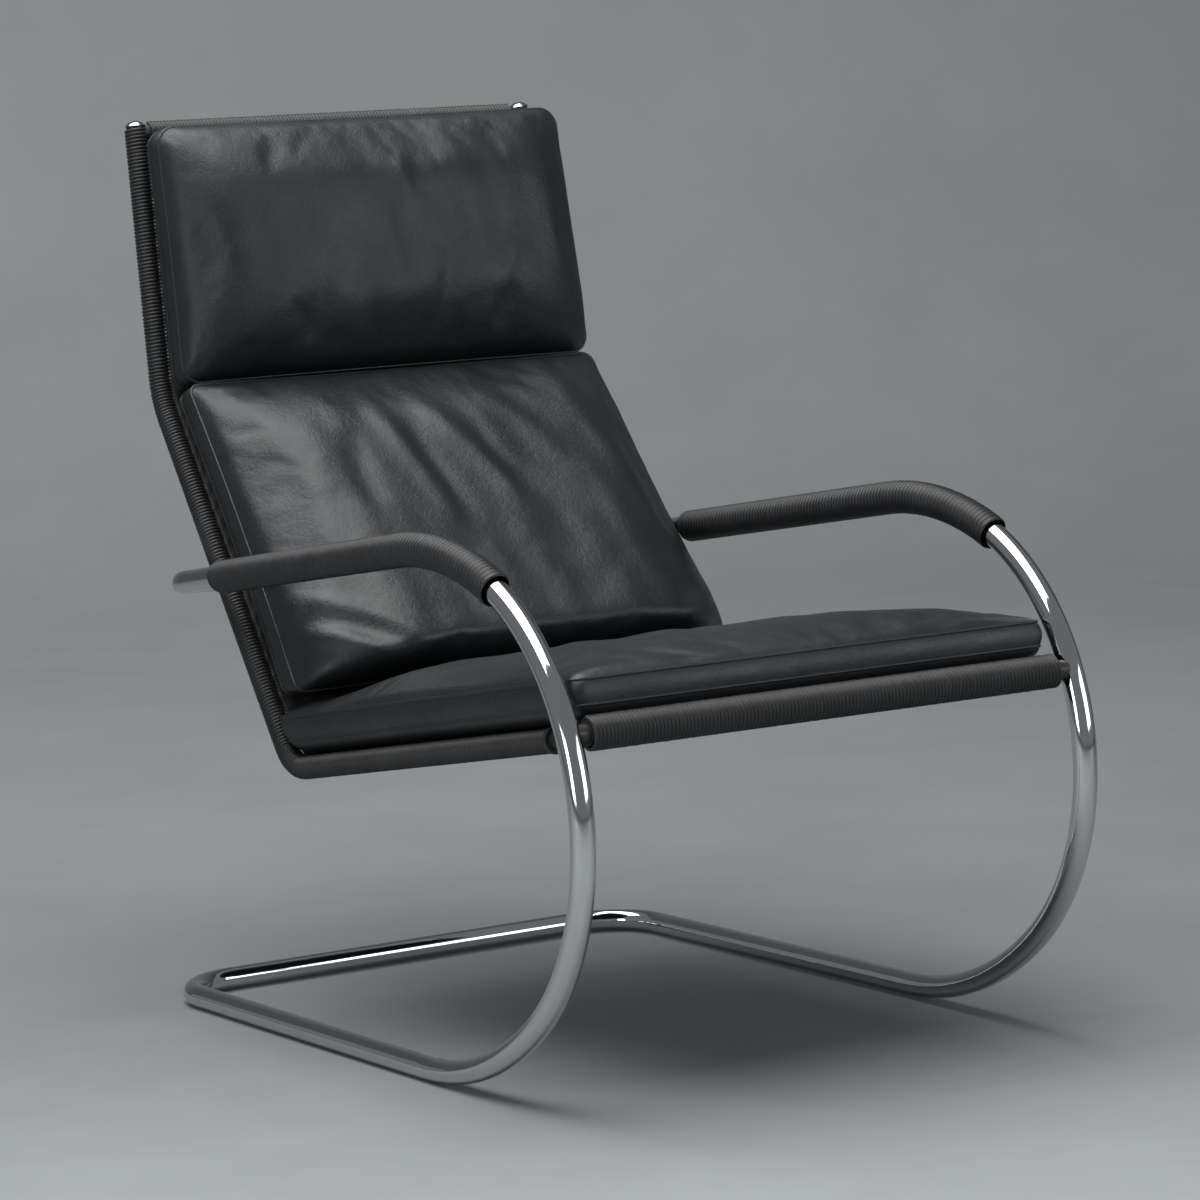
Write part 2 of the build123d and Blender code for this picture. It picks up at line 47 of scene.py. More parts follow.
TUBE_RADIUS = 0.0125
RUNNER_LENGTH = 0.495
FLOOR_CORNER_RADIUS = 0.072
TOE = (0.363, 38.7)                 # radius and turn in degrees
FRONT = (0.248, 121.5)
ARM_BEND = (0.338, 27.5)
ARM_LENGTH = 0.469
ARM_WINDING_START = 0.074           # from the rear end, 8 mm past the plain sleeve's end
ARM_WINDING_OVERRUN = 7.0           # degrees of the front bend
RAIL_RADIUS = 0.010
RAIL_SPREAD = (0.536, 0.496)
SEAT_RAIL = (0.617, 8.8)            # length, and slope in degrees
BACK_RAIL_LENGTH = 0.477
HEAD_RAIL = (0.303, 8.6)            # length, and lean behind upright
REAR_FIXING_INSET = 0.0161          # from the rear end of the straight arm
RAIL_BEND_RADIUS = 0.046
LUMBAR_BEND_RADIUS = 0.105
RAIL_WINDING_END = 0.080            # from the front bar's centre line
FRONT_BAR_HEIGHT = 0.379
FRONT_BAR_ABOVE_RAIL = 0.0033
TOP_BAR_DROP = 0.008
FRONT_CORD_OVERRUN = 0.004          # past the plain sleeve of the part's source

LINE_STEP = 0.002                   # between the points that stand for a line

# Windings: the cord's thickness, its pitch, the depth of the grooves (1 for a round cord), and
# the places in one turn
ARM_CORD = (0.0052, 0.0057, 0.32, 28)
RAIL_CORD = (0.0026, 0.0040, 0.95, 22)
TOP_BAR_CORD = (0.0034, 0.0042, 0.7, 22)
FRONT_BAR_CORD = (0.0050, 0.0043, 0.6, 26)
CORD_PLACES = 6                     # across the cord
PITCH_WOBBLE = (0.10, 0.9)          # share of the pitch, and waves in a turn
CORD_UNEVENNESS = (0.12, 0.7)       # share of the groove, and waves in a turn

# Woven support between the rails
WOUND_RAIL_RADIUS = 0.0125
WEB_SINK = 0.0020                   # from the wound rails' tops to the middle of the straps
FRONT_WEB_GAP = 0.0145              # from the front bar's centre line
TOP_WEB_GAP = 0.0120                # from the top bar's centre line
WEB_SIDE_GAP = 0.0080
STRAP = 0.0120
STRAP_CELLS = 4                     # faces in a strap's width
STRAP_THICKNESS = 0.0014
WEAVE_RISE = 0.0010
WEAVE_FLATNESS = 0.7                # 1 for round waves, less for flatter ones

# Cushions: heights are square to the rails
CUSHION_FLOOR = 0.0128              # of their flat backs, just clear of the wound rails
LEDGE_EDGE = 0.030                  # in which the seat's pressed-down rear rises
ROLL_WIDTH = 0.030                  # of the round under the lower seam
END_GAP = 0.002
SEAT_FRONT_OVERHANG = 0.009
BACK_REST_HEIGHT = 0.0735           # of the seat cushion under the back cushion's foot
BACK_FOOT_SLANT = 0.42
HEAD_TOP_RISE = -0.009              # past the rails' tops
BACK_ASIDE = Vector((0.005, 0, 0))  # how far the cushions lie off the middle
HEAD_ASIDE = Vector((0.008, 0, 0))
MITRE_DROP = 0.005                  # of the gap between the back and the head cushion
CELL = 0.006                        # size of a face of a cushion's mesh
BAND_ROWS = 6
ROLL_ROWS = 5
SEAM_RISE = 0.58                    # less makes a steeper rise from the seam
TOP_FLATNESS = 2.2                  # more makes a flatter top
SEAM_LIP = 0.0030                   # by which the leather stands up beside its welt
SEAM_LIP_WIDTH = 0.010              # in which nearly all of it rises
BAND_BULGE = 0.0025
DRAW_IN_POWER = 6                   # more keeps the drawing-in nearer the seams
UNEVENNESS = ((0.0022, 8.0), (0.0007, 30.0))  # heights, each with its waves in a metre
GATHER = (0.0012, 55.0)             # small gathers along the seams: height, waves in a metre
GATHER_REACH = 0.022
STREAK = 0.0030                     # height of the long soft waves that run up the cushions
STREAK_WAVES = (26.0, 3.0, 5.0)     # in a metre across, slanted, and along
STREAK_SEED = 7.0
CREASE_EDGE = 0.010                 # from the seams, over which all of these die out
BAND_RIPPLE = (0.0009, 30.0)        # height, waves in a metre
FOLD_ENDS = (0.02, 0.6)             # least share of the run, and how bluntly the ends fade
FOLD_REACH = 3                      # in widths, past which a fold is flat
WELT_RADIUS = 0.0019
WELT_SIDES = 10
WELT_SINK = 0.0008

# Cloth simulation of the cushions' fronts
CLOTH_SETTINGS = {
    "quality": 4, "mass": 0.4, "tension_stiffness": 25, "compression_stiffness": 25,
    "shear_stiffness": 12, "bending_stiffness": 1.2, "shrink_min": -0.004,
    "use_pressure": True, "uniform_pressure_force": 2.0,
}
CLOTH_FRAMES = 10
CLOTH_CAP = 0.006                   # how far a place may move
HELD_CELLS = 2                      # beside the seams

# ---- Camera, as the photograph was taken ----

CAMERA_PLACE = Vector((-2.526641, -4.113686, 0.991104))
CAMERA_BACK = Vector((-0.524523, -0.843926, 0.112539))
CAMERA_ROLL = radians(-2.668)
CAMERA_LENS = 137.645               # millimetres, as is the sensor
CAMERA_SENSOR = 36.0


def make_camera():
    """The photograph's viewpoint: a long lens, a little above the seat."""
    level = Vector((0, 0, 1)).cross(CAMERA_BACK).normalized()
    upright = CAMERA_BACK.cross(level)
    right = level * cos(CAMERA_ROLL) + upright * sin(CAMERA_ROLL)
    up = upright * cos(CAMERA_ROLL) - level * sin(CAMERA_ROLL)
    data = bpy.data.cameras.new("camera")
    data.lens = CAMERA_LENS
    data.sensor_width = CAMERA_SENSOR
    camera = bpy.data.objects.new("camera", data)
    camera.matrix_world = Matrix.Translation(CAMERA_PLACE) @ Matrix(
        (right, up, CAMERA_BACK)).transposed().to_4x4()
    bpy.context.scene.collection.objects.link(camera)
    bpy.context.scene.camera = camera


# ---- Light and backdrop ----

WORLD_LIGHT = 0.195
WORLD_COLOUR = (0.96, 1.0, 1.03, 1.0)
# Lamps: name, place, aim, width, height, power
LAMPS = [
    ("lamp_left", (-3.7, -1.4, 0.9), (0, 0.1, 0.75), 1.3, 1.2, 22.0),
    ("lamp_top", (-0.7, 0.1, 3.8), (0, 0, 0.4), 4.4, 3.6, 232.0),
    ("lamp_front_right", (3.0, -4.6, 1.7), (0, 0, 0.6), 3.4, 2.0, 60.0),
]
FLOOR_DEPTHS = (-3.0, 5.5)          # from the camera's side to the backdrop
# The floor's grey by depth, with painted light: lighter towards the camera, and painted shade darkest
# about the chair's depth
FLOOR_GREY_AND_PAINTED_LIGHT = ((0.22, (0.345, 0.362, 0.366)), (0.30, (0.255, 0.269, 0.274)),
                 (0.37, (0.185, 0.196, 0.200)), (1.0, (0.22, 0.232, 0.236)))
GLOW_BY_DEPTH = ((0.3, 0.0), (0.5, 0.045), (0.8, 0.095), (1.0, 0.115))
GLOW_COLOUR = (0.96, 1.0, 1.01, 1.0)
GLOW_SIDES = (1.35, 0.5)            # at the camera's left and right
GLOW_HALF_WIDTH = 2.2
GLOW_IN_CHROME = 0.3                # share of the glow that the chrome reflects
STUDIO_TURN = radians(-31.86)       # turns the backdrop square to the camera
FLOOR_REACH = 9.0
BACKDROP_HEIGHT = 7.0
BACKDROP_BEND = 1.6
BEND_STEPS = 16


# ---- Node helpers ----

class Shader:
    """A material's nodes, made and wired in short calls."""

    def __init__(self, name):
        self.material = bpy.data.materials.new(name)
        self.material.use_nodes = True
        self.tree = self.material.node_tree
        self.surface = self.tree.nodes["Principled BSDF"]
        self.place = self.node("ShaderNodeTexCoord").outputs["Object"]

    def node(self, kind, **settings):
        made = self.tree.nodes.new(kind)
        for name, value in settings.items():
            setattr(made, name, value)
        return made

    def link(self, source, target):
        self.tree.links.new(source, target)

    def set(self, **values):
        """Constants on the surface's own sockets; underscores stand for spaces."""
        for name, value in values.items():
            self.surface.inputs[name.replace("_", " ")].default_value = value

    def noise(self, scale, detail=3.0, roughness=0.5):
        made = self.node("ShaderNodeTexNoise")
        made.inputs["Scale"].default_value = scale
        made.inputs["Detail"].default_value = detail
        made.inputs["Roughness"].default_value = roughness
        self.link(self.place, made.inputs["Vector"])
        return made.outputs["Fac"]

    def cell_edges(self, scale, place=None):
        """How far each place is from the edge of its irregular cell."""
        made = self.node("ShaderNodeTexVoronoi", feature="DISTANCE_TO_EDGE")
        made.inputs["Scale"].default_value = scale
        self.link(place or self.place, made.inputs["Vector"])
        return made.outputs["Distance"]

    def bent(self, scale, amount):
        """The object's coordinates, pushed about by noise."""
        wander = self.node("ShaderNodeTexNoise")
        wander.inputs["Scale"].default_value = scale
        self.link(self.place, wander.inputs["Vector"])
        scaled = self.node("ShaderNodeVectorMath", operation="SCALE")
        self.link(wander.outputs["Color"], scaled.inputs[0])
        scaled.inputs["Scale"].default_value = amount
        moved = self.node("ShaderNodeVectorMath", operation="ADD")
        self.link(self.place, moved.inputs[0])
        self.link(scaled.outputs["Vector"], moved.inputs[1])
        return moved.outputs["Vector"]

    def ramp(self, source, *stops):
        """Colours or grey levels by position."""
        made = self.node("ShaderNodeValToRGB")
        elements = made.color_ramp.elements
        while len(elements) < len(stops):
            elements.new(0.5)
        for element, (position, value) in zip(elements, stops):
            level = value if isinstance(value, tuple) else (value,) * 3
            element.position = position
            element.color = (*level, 1.0)
        self.link(source, made.inputs["Fac"])
        return made.outputs["Color"]

    def span(self, source, low, high, from_low=0.0, from_high=1.0):
        """A value, moved from one range to another."""
        made = self.node("ShaderNodeMapRange")
        for name, value in (("From Min", from_low), ("From Max", from_high),
                            ("To Min", low), ("To Max", high)):
            made.inputs[name].default_value = value
        self.link(source, made.inputs["Value"])
        return made.outputs["Result"]

    def math(self, operation, a, b):
        made = self.node("ShaderNodeMath", operation=operation)
        for socket, value in zip(made.inputs, (a, b)):
            if isinstance(value, (int, float)):
                socket.default_value = value
            else:
                self.link(value, socket)
        return made.outputs["Value"]

    def shaded(self, colour, level):
        """A colour times a grey level, by the colour sockets of a mix node."""
        made = self.node("ShaderNodeMix", data_type="RGBA", blend_type="MULTIPLY")
        factor, first, second, result = 0, 6, 7, 2
        made.inputs[factor].default_value = 1.0
        self.link(colour, made.inputs[first])
        self.link(level, made.inputs[second])
        return made.outputs[result]

    def bump(self, height, strength, distance, under=None):
        made = self.node("ShaderNodeBump")
        made.inputs["Strength"].default_value = strength
        made.inputs["Distance"].default_value = distance
        self.link(height, made.inputs["Height"])
        if under:
            self.link(under, made.inputs["Normal"])
        return made.outputs["Normal"]

    def finish(self, colour=None, roughness=None, normal=None):
        for source, socket in ((colour, "Base Color"), (roughness, "Roughness"),
                               (normal, "Normal")):
            if source:
                self.link(source, self.surface.inputs[socket])
        return self.material


# ---- Materials ----

def chrome():
    """Polished bright plating with faint wiping marks."""
    shader = Shader("bright_chrome")
    shader.set(Metallic=1.0, Base_Color=(0.62, 0.63, 0.65, 1.0))
    marks = shader.noise(38.0, detail=4.0, roughness=0.6)
    haze = shader.noise(7.0, detail=2.0)
    rough = shader.span(shader.math("MULTIPLY", marks, haze), 0.03, 0.11, from_low=0.1, from_high=0.5)
    normal = shader.bump(shader.noise(16.0, detail=2.0), strength=0.04, distance=0.002)
    return shader.finish(roughness=rough, normal=normal)


def cord_leather():
    """The dark leather cord of the windings."""
    shader = Shader("cord_leather")
    patches = shader.noise(26.0, detail=4.0, roughness=0.6)
    colour = shader.ramp(patches, (0.3, (0.009, 0.0095, 0.0105)), (0.7, (0.018, 0.019, 0.021)))
    rough = shader.span(shader.noise(90.0), 0.40, 0.54)
    normal = shader.bump(shader.noise(1400.0, roughness=0.6), strength=0.25, distance=0.0004)
    return shader.finish(colour, rough, normal)


def cushion_leather():
    """Dark smooth-grained leather: pebbled, finely wrinkled and shinier in random patches."""
    shader = Shader("cushion_leather")
    colour = shader.ramp(shader.noise(9.0, detail=4.0, roughness=0.6),
                         (0.3, (0.0080, 0.0105, 0.0120)), (0.72, (0.0140, 0.0175, 0.0200)))
    patches = shader.noise(11.0, detail=4.0, roughness=0.6)
    patches = shader.span(patches, 0.32, 0.48, from_low=0.3, from_high=0.7)
    specks = shader.span(shader.noise(210.0, roughness=0.7), -0.04, 0.05)
    rough = shader.math("ADD", patches, specks)
    pebbles = shader.span(shader.cell_edges(620.0), 0.0, 1.0, from_high=0.25)
    normal = shader.bump(pebbles, strength=0.22, distance=0.0004)
    wrinkles = shader.cell_edges(95.0, shader.bent(scale=30.0, amount=0.012))
    wrinkles = shader.span(wrinkles, 0.0, 1.0, from_high=0.12)
    normal = shader.bump(wrinkles, strength=0.10, distance=0.0009, under=normal)
    waves = shader.noise(48.0, detail=5.0, roughness=0.62)
    normal = shader.bump(waves, strength=0.30, distance=0.0030, under=normal)
    return shader.finish(colour, rough, normal)


def woven_web():
    """Black webbing of the support between the rails."""
    shader = Shader("woven_web")
    weave = shader.node("ShaderNodeTexChecker")
    weave.inputs["Scale"].default_value = 160.0
    shader.link(shader.place, weave.inputs["Vector"])
    colour = shader.ramp(shader.noise(120.0), (0.3, 0.008), (0.7, (0.02, 0.02, 0.021)))
    normal = shader.bump(weave.outputs["Fac"], strength=0.4, distance=0.0008)
    shader.set(Roughness=0.8)
    return shader.finish(colour, normal=normal)


def dull_steel():
    """Plain steel of the hidden frame and its fixings."""
    shader = Shader("plain_steel")
    shader.set(Metallic=1.0)
    colour = shader.ramp(shader.noise(40.0), (0.3, 0.32), (0.7, 0.42))
    rough = shader.span(shader.noise(180.0, detail=4.0), 0.28, 0.45)
    return shader.finish(colour, rough)


def black_paint():
    """Black paint on the inner frame, a little rubbed."""
    shader = Shader("black_paint")
    colour = shader.ramp(shader.noise(55.0, detail=4.0), (0.35, 0.012), (0.75, 0.026))
    rough = shader.span(shader.noise(150.0), 0.35, 0.5)
    return shader.finish(colour, rough)


# ---- Lines in space ----

def heading(angle):
    """Direction in the side plane: 0 is forward, 90 is up, 180 is to the rear."""
    return Vector((0, -cos(radians(angle)), sin(radians(angle))))


def walk(start, angle, moves, step):
    """Points every step along straight runs and bends, each a (length or radius, turn)."""
    points = [start.copy()]
    here = start.copy()
    for size, turn in moves:
        length = radians(turn) * size if turn else size
        count = max(1, round(length / step))
        for index in range(1, count + 1):
            part = index / count
            if turn:
                centre = here + heading(angle + 90) * size
                points.append(centre - heading(angle + turn * part + 90) * size)
            else:
                points.append(here + heading(angle) * size * part)
        here = points[-1]
        angle += turn
    return points


def rounded(corners, radii, step):
    """Points every step along a line whose inner corners are rounded."""
    points = [corners[0].copy()]
    for before, corner, after, radius in zip(corners, corners[1:], corners[2:], radii):
        arriving = (corner - before).normalized()
        leaving = (after - corner).normalized()
        turn = arriving.angle(leaving)
        reach = radius * tan(turn / 2)
        start = corner - arriving * reach
        centre = corner + (leaving - arriving).normalized() * (radius / cos(turn / 2))
        points += straight(points[-1], start, step)
        normal = (start - centre).normalized()
        count = max(2, round(radius * turn / step))
        for index in range(1, count + 1):
            angle = turn * index / count
            points.append(centre + (normal * cos(angle) + arriving * sin(angle)) * radius)
    return points + straight(points[-1], corners[-1], step)


def straight(start, end, step):
    """Points from just after start to end."""
    count = max(1, round((end - start).length / step))
    return [start.lerp(end, index / count) for index in range(1, count + 1)]


class Line:
    """A line in space that can be read at any distance along it."""

    def __init__(self, points, side):
        self.points = points
        self.side = side
        self.marks = [0.0]
        for one, two in zip(points, points[1:]):
            self.marks.append(self.marks[-1] + (two - one).length)
        self.length = self.marks[-1]
        self.last = 0

    def at(self, distance):
        """Place, direction and two square directions at a distance."""
        while self.last < len(self.points) - 2 and self.marks[self.last + 1] < distance:
            self.last += 1
        while self.last > 0 and self.marks[self.last] > distance:
            self.last -= 1
        one, two = self.points[self.last], self.points[self.last + 1]
        part = (distance - self.marks[self.last]) / (self.marks[self.last + 1] - self.marks[self.last])
        along = (two - one).normalized()
        first = (self.side - along * self.side.dot(along)).normalized()
        return one.lerp(two, part), along, first, along.cross(first)


# The chair's lines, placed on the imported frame
loop_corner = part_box("frame_tube_right")[1]
SIDE_X = loop_corner[0] - TUBE_RADIUS
FLOOR_BAR_Y = loop_corner[1] - TUBE_RADIUS


def loop_end(x, *bends):
    """Where the loop's centre line gets to from the start of its runner and toe."""
    start = Vector((x, FLOOR_BAR_Y - FLOOR_CORNER_RADIUS, TUBE_RADIUS))
    return walk(start, 0, [(RUNNER_LENGTH, 0), TOE, *bends], LINE_STEP)[-1]


def arm_line(side):
    """From a little inside the front bend to near the rear end of the arm."""
    lead_in = loop_end(side * SIDE_X, (FRONT[0], FRONT[1] - ARM_WINDING_OVERRUN))
    arm = [(FRONT[0], ARM_WINDING_OVERRUN), ARM_BEND, (ARM_LENGTH - ARM_WINDING_START, 0)]
    return walk(lead_in, TOE[1] + FRONT[1] - ARM_WINDING_OVERRUN, arm, LINE_STEP)


def rear_fixing_place():
    """Where the rails are bolted to the arms, in the side view."""
    return loop_end(0, FRONT, ARM_BEND, (ARM_LENGTH - REAR_FIXING_INSET, 0))


def front_bar_place():
    """The front bar's centre in the side view."""
    toe_end = loop_end(0)
    centre = toe_end + heading(TOE[1] + 90) * FRONT[0]
    rise = FRONT_BAR_HEIGHT - centre.z
    return Vector((0, centre.y - sqrt(FRONT[0] ** 2 - rise ** 2), FRONT_BAR_HEIGHT))


front_bar = front_bar_place()
seat_way = heading(SEAT_RAIL[1])
head_way = heading(90 + HEAD_RAIL[1])
rail_front = front_bar - Vector((0, 0, FRONT_BAR_ABOVE_RAIL))
rail_low = rail_front - seat_way * SEAT_RAIL[0]
back_rise = rear_fixing_place() - rail_low
back_lean = degrees(atan2(back_rise.y, back_rise.z))
back_way = heading(90 + back_lean)
rail_lumbar = rail_low + back_way * BACK_RAIL_LENGTH
rail_top = rail_lumbar + head_way * HEAD_RAIL[0]
top_bar = rail_top - head_way * TOP_BAR_DROP
rail_bend = radians(90 - back_lean + SEAT_RAIL[1])
lumbar_mitre = tan(radians(back_lean - HEAD_RAIL[1]) / 2)


def rail_half(point):
    """Half the spread of the rails at a point of the side view."""
    rise = max(0.0, point.z - rail_low.z) / (rail_top.z - rail_low.z)
    return (RAIL_SPREAD[0] + (RAIL_SPREAD[1] - RAIL_SPREAD[0]) * rise) / 2


def on_rail(point, side):
    """A point of the side view, moved out to one rail."""
    return Vector((side * rail_half(point), point.y, point.z))


def rail_line(side):
    """A wound rail, from the collar under the seat up to its open top."""
    corners = (rail_front - seat_way * RAIL_WINDING_END, rail_low, rail_lumbar, rail_top)
    corners = [on_rail(corner, side) for corner in corners]
    return rounded(corners, (RAIL_BEND_RADIUS, LUMBAR_BEND_RADIUS), LINE_STEP)


# ---- Meshes ----

def add_mesh(name, vertices, faces, material):
    """A new piece with smooth shading."""
    mesh = bpy.data.meshes.new(name)
    mesh.from_pydata(vertices, [], faces)
    mesh.update()
    mesh.shade_smooth()
    mesh.materials.append(material)
    made = bpy.data.objects.new(name, mesh)
    bpy.context.scene.collection.objects.link(made)
    return made


def winding(name, node, points, side, radius, cord, seed, material, keep=None):
    """Cord wound round a line: one continuous helix whose turns lie against each other."""
    thickness, pitch, groove, sides = cord
    line = Line(points, side)
    across = CORD_PLACES
    turns = int(line.length / pitch) - 1
    spare = (line.length - (turns + 1) * pitch) / 2
    vertices = []
    steps = turns * sides
    for step in range(steps + 1):
        turn = step / sides
        angle = 2 * pi * turn
        wobble = PITCH_WOBBLE[0] * pitch * noise.noise(Vector((turn * PITCH_WOBBLE[1], seed, 0.5)))
        rough = noise.noise(Vector((turn * CORD_UNEVENNESS[1], 4.0, seed)))
        uneven = 1 + CORD_UNEVENNESS[0] * rough
        for index in range(across):
            part = index / across
            distance = spare + pitch * (turn + part) + wobble
            place, _, first, second = line.at(min(max(distance, 0.0), line.length))
            height = thickness * (1 - groove + groove * sqrt(1 - (2 * part - 1) ** 2) * uneven)
            out = first * cos(angle) + second * sin(angle)
            vertices.append(place + out * (radius + height))
    faces = []
    for step in range(steps):
        for index in range(across):
            here = step * across + index
            if index < across - 1:
                faces.append((here, here + across, here + across + 1, here + 1))
            elif step + sides + 1 <= steps:
                over = (step + sides) * across
                faces.append((here, here + across, over + across, over))
    if keep:
        faces = [face for face in faces if any(keep(vertices[corner]) for corner in face)]
    made = add_mesh(name, vertices, faces, material)
    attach(made, "root")
    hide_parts(node)


def clear_of_rails(place):
    """Whether a place of the front bar's winding is outside the rails that run into the bar."""
    for side in (1, -1):
        start = on_rail(rail_front, side)
        run = (place - start).dot(-seat_way)
        if run > 0 and (place - start + seat_way * run).length < RAIL_RADIUS:
            return False
    return True


def woven_support(material):
    """Flat straps woven between the wound rails, under and behind the cushions."""
    lift = WOUND_RAIL_RADIUS - WEB_SINK
    low_corner = rail_low + offset_corner(seat_way, back_way, lift)
    lumbar = rail_lumbar + offset_corner(-back_way, head_way, lift)
    seat_lift = heading(SEAT_RAIL[1] + 90) * lift
    head_lift = heading(HEAD_RAIL[1]) * lift
    corners = (rail_front + seat_lift - seat_way * FRONT_WEB_GAP, low_corner, lumbar,
               top_bar + head_lift - head_way * TOP_WEB_GAP)
    path = rounded(corners, (RAIL_BEND_RADIUS - lift, LUMBAR_BEND_RADIUS - lift), STRAP / STRAP_CELLS)
    line = Line(path, Vector((1, 0, 0)))
    rows = round(line.length / (STRAP / STRAP_CELLS))
    columns = STRAP_CELLS * round(RAIL_SPREAD[0] / STRAP)
    vertices = []
    for row in range(rows + 1):
        place, _, _, out = line.at(line.length * row / rows)
        half = rail_half(place) - WEB_SIDE_GAP
        for column in range(columns + 1):
            across = 2 * column / columns - 1
            wave = cos(pi * column / STRAP_CELLS) * cos(pi * row / STRAP_CELLS)
            rise = WEAVE_RISE * copysign(abs(wave) ** WEAVE_FLATNESS, wave)
            vertices.append(place + Vector((across * half, 0, 0)) - out * rise)
    width = columns + 1
    faces = [(row * width + column, row * width + column + 1,
              (row + 1) * width + column + 1, (row + 1) * width + column)
             for row in range(rows) for column in range(columns)]
    made = add_mesh("woven_support", vertices, faces, material)
    thick = made.modifiers.new("thickness", "SOLIDIFY")
    thick.thickness = STRAP_THICKNESS
    thick.offset = 0.0
    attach(made, "root")
    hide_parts("seat_web", "back_web")


def offset_corner(arriving, leaving, lift):
    """From a corner of the rails to the same corner of a line moved towards the sitter."""
    middle = (arriving + leaving).normalized()
    return middle * (lift / sqrt(1 - middle.dot(leaving) ** 2))


# ---- Cushions ----

def swell(share):
    """A full rise from 0 at a seam to 1 where the cushion's front becomes level."""
    left = max(0.0, 1 - max(share, 0.0))
    return (1 - left ** TOP_FLATNESS) ** SEAM_RISE


def rounded_corner(x, y, half_width, half_length, radius):
    """Moves a place of a rectangle so that the rectangle gets rounded corners."""
    over_x = (abs(x) - half_width + radius) / radius
    over_y = (abs(y) - half_length + radius) / radius
    if over_x <= 0 or over_y <= 0:
        return x, y
    if over_x >= over_y:
        angle = pi / 4 * over_y / over_x
    else:
        angle = pi / 2 - pi / 4 * over_x / over_y
    reach = radius * max(over_x, over_y)
    return (copysign(half_width - radius + reach * cos(angle), x),
            copysign(half_length - radius + reach * sin(angle), y))


class Fold:
    """A soft ridge, or with a negative height a valley, through (across, along) places."""

    def __init__(self, height, width, *places):
        self.height = height
        self.width = width
        self.places = [Vector(place) for place in places]
        self.lengths = [(b - a).length for a, b in zip(self.places, self.places[1:])]

    def height_at(self, x, y):
        here = Vector((x, y))
        best = float("inf")
        at = 0.0
        done = 0.0
        for start, end, length in zip(self.places, self.places[1:], self.lengths):
            way = (end - start) / length
            run = min(max((here - start).dot(way), 0.0), length)
            away = (here - start - way * run).length
            if away < best:
                best = away
                at = (done + run) / sum(self.lengths)
            done += length
        if best > FOLD_REACH * self.width:
            return 0.0
        least, bluntness = FOLD_ENDS
        fade = sin(pi * min(max(at, least), 1 - least)) ** bluntness
        return self.height * fade * exp(-(best / self.width) ** 2)


